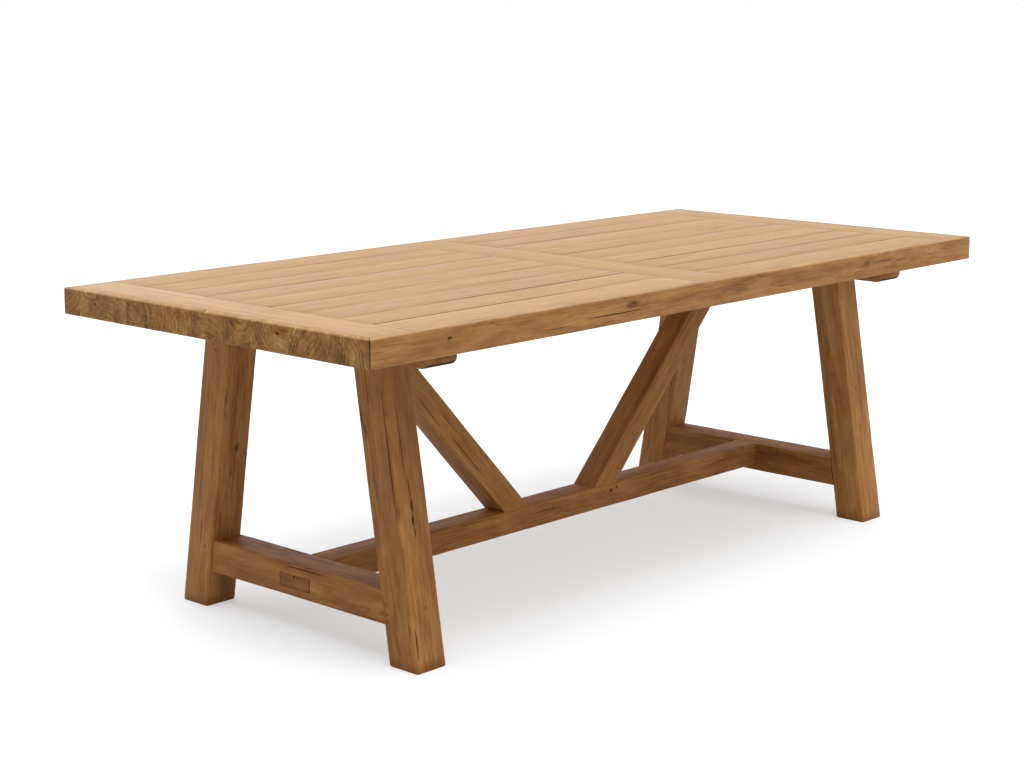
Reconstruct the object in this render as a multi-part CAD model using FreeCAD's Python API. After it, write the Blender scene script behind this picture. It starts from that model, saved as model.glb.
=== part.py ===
import FreeCAD, Part
import math
import os

os.makedirs("parts", exist_ok=True)

# Trestle dining table: a planked top with thick edges on two splayed trestles, in millimetres.
# X runs along the table, Y across it and Z up. The front is -Y and the left end is -X.
# The origin is on the floor, under the middle of the top.

# Overall
table_length = 2200.0
table_width = 1000.0
table_height = 750.0

# Top
top_thickness = 60.0  # height of the edge all round
band_thickness = 20.0  # edge bands, mitred at the corners
board_thickness = 24.0
end_board_width = 110.0
centre_board_width = 130.0
planks_per_bay = 9
tongue_length = 12.0  # plank ends tongued into the cross boards
tongue_thickness = 8.0
groove_ease = 1.0  # chamfer beside each joint line of the boards
edge_ease = 3.0  # chamfer round the whole edge
end_block_widths = [62.0, 96.0, 78.0, 118.0, 84.0, 104.0, 70.0, 92.0]  # end grain blocks, repeated to fill an end
end_block_least = 45.0
centre_batten_width = 170.0
brace_batten_margin = 12.0

# Trestles
end_overhang = 270.0  # table's end to the trestle's middle
bearer_width = 90.0
bearer_thickness = 40.0
bearer_inset = 75.0  # table's long edge to the bearer's end
bearer_end_round = 18.0
foot_inset = 109.0  # table's long edge to the foot's outer edge, on the floor
leg_splay = 9.2  # degrees
leg_width = 85.0  # along X
leg_depth = 85.0  # square to the leg's slope
leg_round = 4.0
foot_ease = 4.0  # chamfer round the foot
leg_tenon = [28.0, 50.0, 30.0]
rail_bottom = 86.0
rail_height = 75.0
rail_width = 80.0  # its inner face is level with the legs
rail_tenon_thickness = 26.0
rail_tenon_height = 45.0
rail_tenon_length = 40.0

# Stretcher and braces
stretcher_width = 70.0
stretcher_height = 58.0
stretcher_tenon_width = 34.0
stretcher_tenon_height = 28.0
stretcher_tenon_length = 30.0
brace_depth = 62.0
brace_foot = 122.0  # middle of the pair to the near side of a brace's foot
brace_shift = -22.0  # middle of the pair, off the table's middle
brace_head_gap = 76.0  # bearer to the far side of a brace's head
brace_tenon_width = 30.0
brace_tenon_span = 44.0
brace_foot_tenon = 25.0
brace_head_tenon = 20.0
bar_round = 3.0  # rails, stretcher and braces

# Knock-down fittings
plug_length = 100.0  # wooden plug let into a rail over the stretcher bolt
plug_height = 32.0
plug_thickness = 12.0
bolt_drop = 41.0  # top of the rail to the stretcher bolt
bolt_diameter = 10.0
bolt_reach = 60.0  # bolt's end past the stretcher's shoulder
bolt_head_diameter = 20.0
bolt_head_thickness = 8.0
nut_diameter = 16.0
nut_length = 26.0
nut_setback = 42.0  # stretcher's shoulder to the nut's middle
screw_diameter = 8.0
screw_bite = 26.0  # length in the batten
screw_head_across = 13.0
screw_head_thickness = 6.0
screw_recess_diameter = 22.0
screw_recess_depth = 10.0
screw_end_margin = 50.0  # bearer's end to the outer screws
screw_middle = 100.0  # table's middle to the inner screws

# Fits
joint_clearance = 0.4
hole_clearance = 0.4
embed = 8.0  # a tenon's root inside its own piece, before the two are fused

# Levels
top_under = table_height - top_thickness
board_under = table_height - board_thickness
bearer_under = top_under - bearer_thickness
rail_top = rail_bottom + rail_height
stretcher_under = rail_top - stretcher_height
bolt_z = rail_top - bolt_drop

# Places
half_length = table_length / 2
half_width = table_width / 2
inner_x = half_length - band_thickness
inner_y = half_width - band_thickness
end_joint_x = inner_x - end_board_width
centre_joint_x = centre_board_width / 2
trestle_x = half_length - end_overhang
bearer_x = [trestle_x - bearer_width / 2, trestle_x + bearer_width / 2]
leg_x = [trestle_x - leg_width / 2, trestle_x + leg_width / 2]
rail_x = [leg_x[0], leg_x[0] + rail_width]
slope = math.tan(math.radians(leg_splay))
leg_run = leg_depth / math.cos(math.radians(leg_splay))

left_and_right = {"left": -1, "right": 1}
front_and_back = {"front": -1, "back": 1}
vector = FreeCAD.Vector
x_axis, y_axis, z_axis = vector(1, 0, 0), vector(0, 1, 0), vector(0, 0, 1)


def block(x, y, z):
    return Part.makeBox(x[1] - x[0], y[1] - y[0], z[1] - z[0], vector(x[0], y[0], z[0]))


def around(middle, size):
    return [middle - size / 2, middle + size / 2]


def room_for(x, y, z):
    gap = joint_clearance
    return block([x[0] - gap, x[1] + gap], [y[0] - gap, y[1] + gap], [z[0] - gap, z[1] + gap])


def prism(points, sweep):
    return Part.Face(Part.makePolygon(points + points[:1])).extrude(sweep)


def rod(diameter, length, start, direction):
    return Part.makeCylinder(diameter / 2, length, start, direction)


def on_side(shape, x_side, y_side=1):
    # Pieces are drawn at +X and +Y, and mirrored to the other sides.
    if x_side < 0:
        shape = shape.mirror(vector(), x_axis)
    if y_side < 0:
        shape = shape.mirror(vector(), y_axis)
    return shape


def in_pair(shape, x_side):
    return on_side(shape, x_side).translated(vector(brace_shift, 0, 0))


def long_edges(bar, least_length):
    return [edge for edge in bar.Edges if edge.Length > least_length]


def save(name, *solids):
    shape = solids[0] if len(solids) == 1 else Part.makeCompound(list(solids))
    shape.exportStep("parts/" + name + ".step")


def leg_outer(z):
    return half_width - foot_inset - z * slope


def leg_inner(z):
    return leg_outer(z) - leg_run


# Braces rise from the stretcher to the underside of the top. Their angle follows from where both ends are.
brace_rise = top_under - rail_top
brace_reach = bearer_x[0] - brace_head_gap - brace_foot
brace_angle = math.atan2(brace_rise, brace_reach) + math.asin(brace_depth / math.hypot(brace_rise, brace_reach))
brace_run = brace_depth / math.sin(brace_angle)
foot_x = [brace_foot, brace_foot + brace_run]
head_x = [bearer_x[0] - brace_head_gap - brace_run, bearer_x[0] - brace_head_gap]
foot_tenon_x = around(sum(foot_x) / 2, brace_tenon_span)
head_tenon_x = around(sum(head_x) / 2, brace_tenon_span)
brace_tenon_y = around(0, brace_tenon_width)
foot_tenon_z = [rail_top - brace_foot_tenon, rail_top + embed]
head_tenon_z = [top_under - embed, top_under + brace_head_tenon]

# Other tenons
leg_top_y = leg_inner(bearer_under) + leg_run / 2
leg_tenon_x = around(trestle_x, leg_tenon[0])
leg_tenon_y = around(leg_top_y, leg_tenon[1])
leg_tenon_z = [bearer_under - embed, bearer_under + leg_tenon[2]]
rail_middle_z = rail_bottom + rail_height / 2
rail_tenon_x = around(sum(rail_x) / 2, rail_tenon_thickness)
rail_tenon_y = [leg_inner(rail_top) - embed, leg_inner(rail_middle_z) + rail_tenon_length]
rail_tenon_z = around(rail_middle_z, rail_tenon_height)
stretcher_tenon_x = [rail_x[0] - embed, rail_x[0] + stretcher_tenon_length]
stretcher_tenon_y = around(0, stretcher_tenon_width)
stretcher_tenon_z = around(bolt_z, stretcher_tenon_height)


# Boards of the top
def with_joint_lines(board):
    # Chamfers the top edges that lie against another board, and leaves those against an edge band square.
    lines = []
    for edge in board.Edges:
        middle = edge.CenterOfMass
        on_top = edge.BoundBox.ZMin > table_height - groove_ease / 2
        if on_top and abs(middle.x) < inner_x - groove_ease and abs(middle.y) < inner_y - groove_ease:
            lines.append(edge)
    return board.makeChamfer(groove_ease, lines)


board_z = [board_under, table_height]
tongue_z = around(board_under + board_thickness / 2, tongue_thickness)
full_y = [-inner_y, inner_y]

end_board = with_joint_lines(block([end_joint_x, inner_x], full_y, board_z))
end_board = end_board.cut(room_for([end_joint_x, end_joint_x + tongue_length], full_y, tongue_z))
for side, x_side in left_and_right.items():
    save("end_board_" + side, on_side(end_board, x_side))

centre_board = with_joint_lines(block([-centre_joint_x, centre_joint_x], full_y, board_z))
centre_groove = room_for([centre_joint_x - tongue_length, centre_joint_x], full_y, tongue_z)
for x_side in left_and_right.values():
    centre_board = centre_board.cut(on_side(centre_groove, x_side))
save("centre_board", centre_board)

plank_width = 2 * inner_y / planks_per_bay
for number in range(planks_per_bay):
    plank_y = [-inner_y + number * plank_width, -inner_y + (number + 1) * plank_width]
    plank = with_joint_lines(block([centre_joint_x, end_joint_x], plank_y, board_z))
    plank = plank.fuse(block([centre_joint_x - tongue_length, end_joint_x + tongue_length], plank_y, tongue_z))
    for side, x_side in left_and_right.items():
        save("plank_" + side + "_" + str(number + 1), on_side(plank, x_side))

# Edge bands: one long strip at the front and back, and a row of end grain blocks at each end
slab = block([-half_length, half_length], [-half_width, half_width], [top_under, table_height])
slab = slab.makeChamfer(edge_ease, slab.Edges)
outer_corner = vector(half_length, half_width, top_under)
inner_corner = vector(inner_x, inner_y, top_under)
long_band = prism(
    [
        outer_corner,
        inner_corner,
        vector(-inner_x, inner_y, top_under),
        vector(-half_length, half_width, top_under),
    ],
    z_axis * top_thickness,
)
end_band = prism(
    [
        outer_corner,
        inner_corner,
        vector(inner_x, -inner_y, top_under),
        vector(half_length, -half_width, top_under),
    ],
    z_axis * top_thickness,
)
for face, y_side in front_and_back.items():
    save(face + "_edge_band", on_side(slab.common(long_band), 1, y_side))

end_strip = slab.common(end_band)
end_blocks = []
block_y = -half_width
while block_y < half_width:
    block_end = block_y + end_block_widths[len(end_blocks) % len(end_block_widths)]
    if block_end > half_width - end_block_least:
        block_end = half_width
    end_blocks.append(end_strip.common(block([inner_x, half_length], [block_y, block_end], [top_under, table_height])))
    block_y = block_end
for side, x_side in left_and_right.items():
    save(side + "_end_blocks", *[on_side(piece, x_side) for piece in end_blocks])

# Screws through the bearers into the battens above them
screw_head_z = bearer_under + screw_recess_depth
screw_length = top_under + screw_bite - screw_head_z
screw_places = []
for y in [screw_middle, half_width - bearer_inset - screw_end_margin]:
    screw_places += [vector(trestle_x, y, screw_head_z), vector(trestle_x, -y, screw_head_z)]


def screw(place):
    across_corners = screw_head_across / math.cos(math.pi / 6)
    corners = []
    for turn in range(6):
        angle = turn * math.pi / 3
        corners.append(place + vector(math.cos(angle), math.sin(angle), 0) * (across_corners / 2))
    head = prism(corners, z_axis * -screw_head_thickness)
    return head.fuse(rod(screw_diameter, screw_length, place, z_axis))


def screw_hole(place):
    return rod(screw_diameter + 2 * hole_clearance, screw_length + hole_clearance, place, z_axis)


screws = [screw(place) for place in screw_places]
save("top_screws", *[on_side(piece, x_side) for x_side in left_and_right.values() for piece in screws])

# Battens under the boards
batten_z = [top_under, board_under]
trestle_batten = block(bearer_x, full_y, batten_z)
for place in screw_places:
    trestle_batten = trestle_batten.cut(screw_hole(place))
brace_batten = block([head_x[0] - brace_batten_margin, head_x[1] + brace_batten_margin], full_y, batten_z)
brace_batten = brace_batten.cut(room_for(head_tenon_x, brace_tenon_y, head_tenon_z))
for side, x_side in left_and_right.items():
    save("trestle_batten_" + side, on_side(trestle_batten, x_side))
    save("brace_batten_" + side, in_pair(brace_batten, x_side))
save("centre_batten", block(around(0, centre_batten_width), full_y, batten_z))

# Bearers
bearer_y = half_width - bearer_inset
bearer = block(bearer_x, [-bearer_y, bearer_y], [bearer_under, top_under])
lower_ends = []
for edge in bearer.Edges:
    middle = edge.CenterOfMass
    if middle.z < bearer_under + bearer_thickness / 4 and abs(middle.y) > bearer_y - bearer_end_round / 2:
        lower_ends.append(edge)
bearer = bearer.makeFillet(bearer_end_round, lower_ends)
for y_side in front_and_back.values():
    bearer = bearer.cut(on_side(room_for(leg_tenon_x, leg_tenon_y, leg_tenon_z), 1, y_side))
for place in screw_places:
    recess_foot = vector(place.x, place.y, bearer_under)
    bearer = bearer.cut(rod(screw_recess_diameter, screw_recess_depth, recess_foot, z_axis))
    bearer = bearer.cut(screw_hole(place))
for side, x_side in left_and_right.items():
    save("bearer_" + side, on_side(bearer, x_side))

# Legs
leg = prism(
    [
        vector(leg_x[0], leg_outer(0), 0),
        vector(leg_x[0], leg_inner(0), 0),
        vector(leg_x[0], leg_inner(bearer_under), bearer_under),
        vector(leg_x[0], leg_outer(bearer_under), bearer_under),
    ],
    x_axis * leg_width,
)
leg = leg.makeChamfer(foot_ease, [edge for edge in leg.Edges if edge.BoundBox.ZMax < foot_ease])
leg = leg.makeFillet(leg_round, long_edges(leg, bearer_under / 2))
leg = leg.fuse(block(leg_tenon_x, leg_tenon_y, leg_tenon_z))
leg = leg.cut(room_for(rail_tenon_x, rail_tenon_y, rail_tenon_z))
for side, x_side in left_and_right.items():
    for face, y_side in front_and_back.items():
        save("leg_" + face + "_" + side, on_side(leg, x_side, y_side))

# Cross rails
rail = prism(
    [
        vector(rail_x[0], -leg_inner(rail_bottom), rail_bottom),
        vector(rail_x[0], leg_inner(rail_bottom), rail_bottom),
        vector(rail_x[0], leg_inner(rail_top), rail_top),
        vector(rail_x[0], -leg_inner(rail_top), rail_top),
    ],
    x_axis * rail_width,
)
rail = rail.makeFillet(bar_round, long_edges(rail, leg_inner(rail_top)))
for y_side in front_and_back.values():
    rail = rail.fuse(on_side(block(rail_tenon_x, rail_tenon_y, rail_tenon_z), 1, y_side))
rail = rail.cut(room_for(stretcher_tenon_x, stretcher_tenon_y, stretcher_tenon_z))

plug_x = [rail_x[1] - plug_thickness, rail_x[1]]
plug_y = around(0, plug_length)
plug_z = around(bolt_z, plug_height)
plug = block(plug_x, plug_y, plug_z)
plug_recess_y = [plug_y[0] - joint_clearance, plug_y[1] + joint_clearance]
plug_recess_z = [plug_z[0] - joint_clearance, plug_z[1] + joint_clearance]
rail = rail.cut(block(plug_x, plug_recess_y, plug_recess_z))

bolt_start = vector(plug_x[0], 0, bolt_z)
bolt_seat = bolt_start - x_axis * bolt_head_thickness
bolt_length = bolt_seat.x - rail_x[0] + bolt_reach
bolt = rod(bolt_head_diameter, bolt_head_thickness, bolt_start, -x_axis)
bolt = bolt.fuse(rod(bolt_diameter, bolt_length, bolt_seat, -x_axis))
bolt_hole = rod(bolt_diameter + 2 * hole_clearance, bolt_length + hole_clearance, bolt_seat, -x_axis)
rail = rail.cut(rod(bolt_head_diameter + 2 * hole_clearance, bolt_head_thickness, bolt_start, -x_axis))
rail = rail.cut(bolt_hole)
for side, x_side in left_and_right.items():
    save("cross_rail_" + side, on_side(rail, x_side))
    save("rail_plug_" + side, on_side(plug, x_side))
save("stretcher_bolts", *[on_side(bolt, x_side) for x_side in left_and_right.values()])

# Stretcher, with a nut for the bolt let into its underside at each end
nut_foot = vector(rail_x[0] - nut_setback, 0, bolt_z - nut_length / 2)
nut = rod(nut_diameter, nut_length, nut_foot, z_axis).cut(bolt_hole)
save("barrel_nuts", *[on_side(nut, x_side) for x_side in left_and_right.values()])

nut_pocket_foot = vector(nut_foot.x, 0, stretcher_under)
nut_pocket_depth = bolt_z + nut_length / 2 - stretcher_under
nut_pocket = rod(nut_diameter + 2 * hole_clearance, nut_pocket_depth, nut_pocket_foot, z_axis)

stretcher = block([-rail_x[0], rail_x[0]], around(0, stretcher_width), [stretcher_under, rail_top])
stretcher = stretcher.makeFillet(bar_round, long_edges(stretcher, rail_x[0]))
for x_side in left_and_right.values():
    stretcher = stretcher.fuse(on_side(block(stretcher_tenon_x, stretcher_tenon_y, stretcher_tenon_z), x_side))
    stretcher = stretcher.cut(in_pair(room_for(foot_tenon_x, brace_tenon_y, foot_tenon_z), x_side))
    stretcher = stretcher.cut(on_side(bolt_hole, x_side)).cut(on_side(nut_pocket, x_side))
save("stretcher", stretcher)

# Braces
brace = prism(
    [
        vector(foot_x[0], -stretcher_width / 2, rail_top),
        vector(foot_x[1], -stretcher_width / 2, rail_top),
        vector(head_x[1], -stretcher_width / 2, top_under),
        vector(head_x[0], -stretcher_width / 2, top_under),
    ],
    y_axis * stretcher_width,
)
brace = brace.makeFillet(bar_round, long_edges(brace, brace_rise / 2))
brace = brace.fuse(block(foot_tenon_x, brace_tenon_y, foot_tenon_z))
brace = brace.fuse(block(head_tenon_x, brace_tenon_y, head_tenon_z))
for side, x_side in left_and_right.items():
    save("brace_" + side, in_pair(brace, x_side))
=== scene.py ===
import math
import random

import bmesh
import bpy
import numpy as np
from mathutils import Matrix, Vector


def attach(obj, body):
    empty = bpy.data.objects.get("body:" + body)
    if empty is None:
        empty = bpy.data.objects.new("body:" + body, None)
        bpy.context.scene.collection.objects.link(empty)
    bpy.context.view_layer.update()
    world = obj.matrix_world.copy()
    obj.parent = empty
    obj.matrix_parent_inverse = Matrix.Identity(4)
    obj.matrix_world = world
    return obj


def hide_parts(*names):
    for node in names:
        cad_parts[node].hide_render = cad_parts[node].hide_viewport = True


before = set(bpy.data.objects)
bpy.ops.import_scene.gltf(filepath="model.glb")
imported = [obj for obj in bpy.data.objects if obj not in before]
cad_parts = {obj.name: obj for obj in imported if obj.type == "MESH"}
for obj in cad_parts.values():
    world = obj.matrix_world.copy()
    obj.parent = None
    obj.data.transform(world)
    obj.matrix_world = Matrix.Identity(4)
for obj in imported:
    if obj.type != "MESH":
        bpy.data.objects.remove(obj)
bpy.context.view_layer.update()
scene = bpy.context.scene
scene.view_settings.view_transform = "Standard"
print("frame loaded,", len(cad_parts), "nodes")

axisX, axisY, axisZ = Vector((1, 0, 0)), Vector((0, 1, 0)), Vector((0, 0, 1))
sides = {"left": -1, "right": 1}
fronts = {"front": -1, "back": 1}

# camera, at the near left corner
camera = {
    "place": (-3.698, -3.293, 1.418),
    "pitch": -9.46,
    "turn": -47.0,
    "lens": 71.5,
    "shift": -0.0586,
}

bpy.ops.object.select_all(action="DESELECT")
bpy.ops.object.camera_add(
    location=camera["place"],
    rotation=(math.radians(90 + camera["pitch"]), 0, math.radians(camera["turn"])),
)
viewer = bpy.context.object
viewer.data.sensor_width = 36
viewer.data.lens = camera["lens"]
viewer.data.shift_y = camera["shift"]
viewer.data.clip_end = 200
scene.camera = viewer
print("camera set")


# hand tools
touch = 0.001  # how near counts as at a place
sharp = 1  # angle in radians from which an edge counts as an arris
smoothAngle = 34  # degrees
holeSides = 28

def deselectAll():
    active = bpy.context.view_layer.objects.active
    if active and active.mode != "OBJECT":
        bpy.ops.object.mode_set(mode="OBJECT")
    bpy.ops.object.select_all(action="DESELECT")


def makeActive(piece):
    deselectAll()
    piece.select_set(True)
    bpy.context.view_layer.objects.active = piece


def editAll(piece):
    makeActive(piece)
    bpy.ops.object.mode_set(mode="EDIT")
    bpy.ops.mesh.select_all(action="SELECT")


def rename(piece, name):
    piece.name = piece.data.name = name
    return piece


def boxMiddle(low, high):
    return [(a + b) / 2 for a, b in zip(low, high)]


def addBlock(name, low, high):
    deselectAll()
    size = [b - a for a, b in zip(low, high)]
    bpy.ops.mesh.primitive_cube_add(size=1, location=boxMiddle(low, high), scale=size)
    bpy.ops.object.transform_apply(location=True, rotation=True, scale=True)
    return rename(bpy.context.object, name)


def copyPiece(source, name):
    makeActive(source)
    bpy.ops.object.duplicate(linked=False)
    return rename(bpy.context.object, name)


def pick(piece, kind, test):
    # goes into edit mode and selects by place or direction
    makeActive(piece)
    bpy.ops.object.mode_set(mode="EDIT")
    bpy.ops.mesh.select_mode(type=kind)
    bpy.ops.mesh.select_all(action="DESELECT")
    mesh = bmesh.from_edit_mesh(piece.data)
    parts = {"VERT": mesh.verts, "EDGE": mesh.edges, "FACE": mesh.faces}[kind]
    for part in parts:
        if test(part):
            part.select_set(True)
    mesh.select_flush_mode()
    bmesh.update_edit_mesh(piece.data)


def done():
    bpy.ops.object.mode_set(mode="OBJECT")


def edgeMiddle(edge):
    return (edge.verts[0].co + edge.verts[1].co) / 2


def runsAlong(edge, direction):
    run = edge.verts[1].co - edge.verts[0].co
    return abs(run.normalized().dot(direction)) > 0.98


def isSharp(edge):
    return edge.calc_face_angle(0) > sharp


def cutAcross(piece, direction, count):
    pick(piece, "EDGE", lambda edge: runsAlong(edge, direction))
    bpy.ops.mesh.subdivide_edgering(number_cuts=count, interpolation="LINEAR", smoothness=0)
    done()


def easeEdges(piece, test, width, segments):
    pick(piece, "EDGE", test)
    bpy.ops.mesh.bevel(offset=width, segments=segments, profile=0.5, affect="EDGES", clamp_overlap=True)
    done()


def sawOff(piece, place, outward):
    # cuts away what lies beyond a plane and closes the cut
    editAll(piece)
    bpy.ops.mesh.bisect(plane_co=place, plane_no=outward, use_fill=True, clear_outer=True)
    done()


def mirrorPiece(piece, xSide, ySide):
    if xSide > 0 and ySide > 0:
        return
    editAll(piece)
    bpy.ops.transform.resize(value=(xSide, ySide, 1), center_override=(0, 0, 0))
    bpy.ops.mesh.normals_make_consistent(inside=False)
    done()


def movePiece(piece, step):
    editAll(piece)
    bpy.ops.transform.translate(value=step)
    done()


def joinPieces(pieces):
    deselectAll()
    for piece in pieces:
        piece.select_set(True)
    bpy.context.view_layer.objects.active = pieces[0]
    bpy.ops.object.join()
    return bpy.context.object


def weather(piece, depth, size):
    # shallow waviness of old planed timber
    wave = bpy.data.textures.new(piece.name + "Wave", "CLOUDS")
    wave.noise_scale = size
    wave.noise_depth = 2
    makeActive(piece)
    modifier = piece.modifiers.new("wave", "DISPLACE")
    modifier.texture = wave
    modifier.texture_coords = "LOCAL"
    modifier.strength = depth
    modifier.mid_level = 0.5
    bpy.ops.object.modifier_apply(modifier=modifier.name)


def cutWith(piece, cutter):
    makeActive(piece)
    modifier = piece.modifiers.new("cut", "BOOLEAN")
    modifier.operation = "DIFFERENCE"
    modifier.solver = "EXACT"
    modifier.use_self = True
    modifier.object = cutter
    bpy.ops.object.modifier_apply(modifier=modifier.name)
    bpy.data.objects.remove(cutter)


def drill(piece, place, diameter, depth):
    # a round hole up from a place on the underside
    deselectAll()
    bpy.ops.mesh.primitive_cylinder_add(vertices=holeSides, radius=diameter / 2, depth=2 * depth, location=place)
    bpy.ops.object.transform_apply(location=True, rotation=True, scale=True)
    cutWith(piece, bpy.context.object)


def faceOf(timber, side):
    # a side of a timber: outward, the two directions in its plane, how far out it is and half its breadth
    along, across = timber["along"], timber["across"]
    upward = along.cross(across)
    half = timber["half"]
    return {
        "+x": (along, upward, across, half[0], half[1]),
        "-x": (-along, upward, across, half[0], half[1]),
        "+y": (across, along, upward, half[1], half[2]),
        "-y": (-across, along, upward, half[1], half[2]),
        "+z": (upward, along, across, half[2], half[1]),
        "-z": (-upward, along, across, half[2], half[1]),
    }[side]


def carve(piece, timber, marks):
    # drying checks, knot holes and dents: (side, place along, place across, length, width, depth)
    if not marks:
        return
    cutters = []
    for number, (side, along, across, length, width, depth) in enumerate(marks):
        outward, lengthways, sideways, out = faceOf(timber, side)[:4]
        deselectAll()
        bpy.ops.mesh.primitive_ico_sphere_add(subdivisions=2, radius=1)
        cutter = bpy.context.object
        bpy.ops.object.mode_set(mode="EDIT")
        bpy.ops.transform.vertex_random(offset=0.16, uniform=0.4, normal=0, seed=number + 3)
        done()
        turned = Matrix((lengthways * length / 2, sideways * width / 2, outward * depth)).transposed()
        place = timber["middle"] + lengthways * along + sideways * across + outward * out
        cutter.matrix_world = Matrix.Translation(place) @ turned.to_4x4()
        bpy.ops.object.transform_apply(location=True, rotation=True, scale=True)
        cutters.append(cutter)
    joined = joinPieces(cutters)
    editAll(joined)
    bpy.ops.mesh.normals_make_consistent(inside=False)
    done()
    cutWith(piece, joined)


checks = {
    "reach": 0.86,  # share of a timber's half length
    "breadth": 0.7,  # share of a face's half breadth
    "depth": (0.003, 0.007),
    "width": (0.0010, 0.0022),
    "fineWidth": (0.0008, 0.0016),
}


def drawChecks(name, timber, faces, count, length, width=checks["width"]):
    # a few drying checks along the grain, the same ones on every run
    draw = random.Random(name)
    marks = []
    for number in range(count):
        side = faces[number % len(faces)]
        run = draw.uniform(*length)
        reach = max(timber["half"][0] * checks["reach"] - run / 2, 0)
        along = draw.uniform(-reach, reach)
        across = draw.uniform(-checks["breadth"], checks["breadth"]) * faceOf(timber, side)[4]
        marks.append((side, along, across, run, draw.uniform(*width), draw.uniform(*checks["depth"])))
    return marks


grainByEye = {"legFrontRight": 7.3}  # place along the tree of pieces that want another stretch of grain
treeLength = 30
spotSlots = 2  # knots, and one broad patch of painted shade, listed for one piece: place in the timber, length, width and strength
noKnot = ((0, 0, 0), 1, 1, 0)
plainJoints = (0.6, 0.6, 0.6)  # strength at the low side, the high side and the ends


def writeGrain(piece, timber):
    # each point's place in its own timber, which the wood materials read
    mesh = piece.data
    count = len(mesh.vertices)
    points = np.empty(count * 3, dtype=np.float32)
    mesh.vertices.foreach_get("co", points)
    axes = np.array([timber["along"], timber["across"], timber["along"].cross(timber["across"])])
    local = (points.reshape(count, 3) - np.array(timber["middle"])) @ axes.T
    along = grainByEye.get(piece.name, random.Random(piece.name).uniform(0, treeLength))
    slant = timber.get("slant", (0, 0))  # lean of the grain from the timber's own length
    values = {
        "barCoord": local,
        "barHalf": timber["half"],
        "grainShift": np.array((along, *timber["pith"])) + local[:, :1] * np.array([[0, *slant]]),
        "woodCast": timber["cast"],
        "jointCast": timber.get("joints", plainJoints),
    }
    knots = timber.get("knots", []) + [noKnot] * spotSlots
    for number, (place, length, width, strength) in enumerate(knots[:spotSlots]):
        values["knotPlace" + str(number)] = place
        values["knotSize" + str(number)] = (2 / length, 2 / width, strength)
    for name, value in values.items():
        field = mesh.attributes.new(name, "FLOAT_VECTOR", "POINT")
        filled = np.broadcast_to(np.asarray(value, dtype=np.float32), (count, 3))
        field.data.foreach_set("vector", filled.ravel())


toneByEye = {  # tone and blush of pieces that stand out
    "endBoardLeft": (3.3, 3.0),
    "endBoardRight": (0.7, 1.0),
    "centreBoard": (0.3, 0.2),
    "legFrontLeft": (0.0, 0.0),
    "plankLeft1": (2.6, 1.5),
    "plankLeft2": (1.0, 0.8),
    "legFrontRight": (1.5, -0.3),
    "legBackLeft": (1.1, 0.2),
    "legBackRight": (2.5, 0.0),
    "crossRailLeft": (-0.3, 0.1),
    "crossRailRight": (-0.4, 0.1),
    "bearerLeft": (-0.6, 0.3),
    "braceLeft": (1.0, 0.0),
    "braceRight": (1.5, 0.0),
    "stretcherBeam": (0.2, 0.0),
    "leftEndBlock5": (-1.0, 0.0),
    "leftEndBlock6": (-1.5, 0.0),
    "leftEndBlock9": (0.7, 0.0),
    "leftEndBlock10": (1.0, 0.0),
    "leftEndBlock11": (1.0, 0.0),
    "leftEndBlock12": (0.6, 0.0),
}


def drawCast(name, spread=1.0):
    # tone and blush of one piece of timber
    draw = random.Random(name + "cast")
    tone, blush = draw.uniform(-1, 1) * spread, draw.uniform(-1, 1) * spread
    return (*toneByEye.get(name, (tone, blush)), 0)


def drawPith(name, near, far):
    # where the heart of the tree lay, off the middle of the piece
    draw = random.Random(name + "pith")
    angle = draw.uniform(0, 2 * math.pi)
    distance = draw.uniform(near, far)
    return (math.cos(angle) * distance, math.sin(angle) * distance)


def makeTimber(name, middle, along, across, half, near=0.05, far=0.16, spread=1.0):
    return {
        "middle": Vector(middle),
        "along": Vector(along).normalized(),
        "across": Vector(across).normalized(),
        "half": half,
        "pith": drawPith(name, near, far),
        "cast": drawCast(name, spread),
    }


def timberIn(name, low, high, along, across, *drawn, spare=0.0):
    # the timber that fills a box; spare is what is hidden past each end
    half = [(b - a) / 2 for a, b in zip(low, high)]
    if along == axisY:
        half = [half[1], half[0], half[2]]
    half[0] += spare
    return makeTimber(name, boxMiddle(low, high), along, across, half, *drawn)


def finishPiece(piece, material, node):
    makeActive(piece)
    bpy.ops.object.shade_smooth_by_angle(angle=math.radians(smoothAngle))
    piece.data.materials.clear()
    piece.data.materials.append(material)
    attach(piece, "root")
    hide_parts(node)


def finishTimber(piece, timber, marks, material, node):
    carve(piece, timber, marks)
    writeGrain(piece, timber)
    finishPiece(piece, material, node)


# node tools

def wire(tree, value, socket):
    if isinstance(value, bpy.types.NodeSocket):
        tree.links.new(value, socket)
    else:
        socket.default_value = value


def maths(tree, operation, first, second=0.0, third=0.0):
    node = tree.nodes.new("ShaderNodeMath")
    node.operation = operation
    for value, socket in zip((first, second, third), node.inputs):
        wire(tree, value, socket)
    return node.outputs[0]


def vectorMaths(tree, operation, first, second=(0, 0, 0)):
    node = tree.nodes.new("ShaderNodeVectorMath")
    node.operation = operation
    wire(tree, first, node.inputs[0])
    wire(tree, second, node.inputs["Scale" if operation == "SCALE" else 1])
    return node.outputs["Value" if operation == "LENGTH" else "Vector"]


def ramped(tree, value, start, end, low=0.0, high=1.0):
    # smooth step from one level to another
    node = tree.nodes.new("ShaderNodeMapRange")
    node.interpolation_type = "SMOOTHSTEP"
    levels = {"Value": value, "From Min": start, "From Max": end, "To Min": low, "To Max": high}
    for label, level in levels.items():
        wire(tree, level, node.inputs[label])
    return node.outputs["Result"]


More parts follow.
